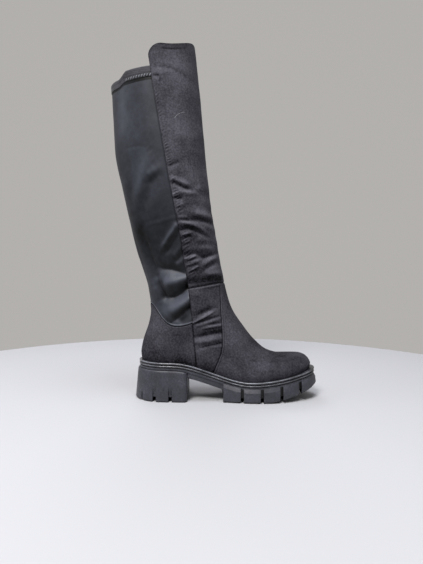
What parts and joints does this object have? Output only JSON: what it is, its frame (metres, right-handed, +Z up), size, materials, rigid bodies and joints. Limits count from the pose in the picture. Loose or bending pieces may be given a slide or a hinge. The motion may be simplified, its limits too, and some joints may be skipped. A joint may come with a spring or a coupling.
{
  "type": "block heel boot",
  "caption": "Knee-high boot for the right foot: suede front rising to a rounded flap, stretch back with a collar band, lugged rubber sole and a block heel.",
  "frame": {"origin": "on the floor, under the middle of the boot's box", "axes": "+X towards the toe, +Y towards the inner side of the foot, +Z up along the shaft"},
  "size_m": [0.3209, 0.1089, 0.535],
  "materials": {
    "suede": "charcoal suede, matt, with a mottled nap",
    "stretch_fabric": "smooth satin stretch fabric, dark blue grey",
    "elastic_band": "elastic band with a zigzag seam",
    "insole_lining": "matt black lining",
    "welt_rubber": "moulded rubber, half matt, with two beads",
    "sole_rubber": "moulded rubber, matt",
    "heel_rubber": "moulded rubber, matt"
  },
  "bodies": {
    "root": {"upper": "suede", "stretch_panel": "stretch_fabric", "collar_band": "elastic_band", "insole": "insole_lining", "welt": "welt_rubber", "outsole": "sole_rubber", "heel": "heel_rubber"}
  },
  "joints": []
}
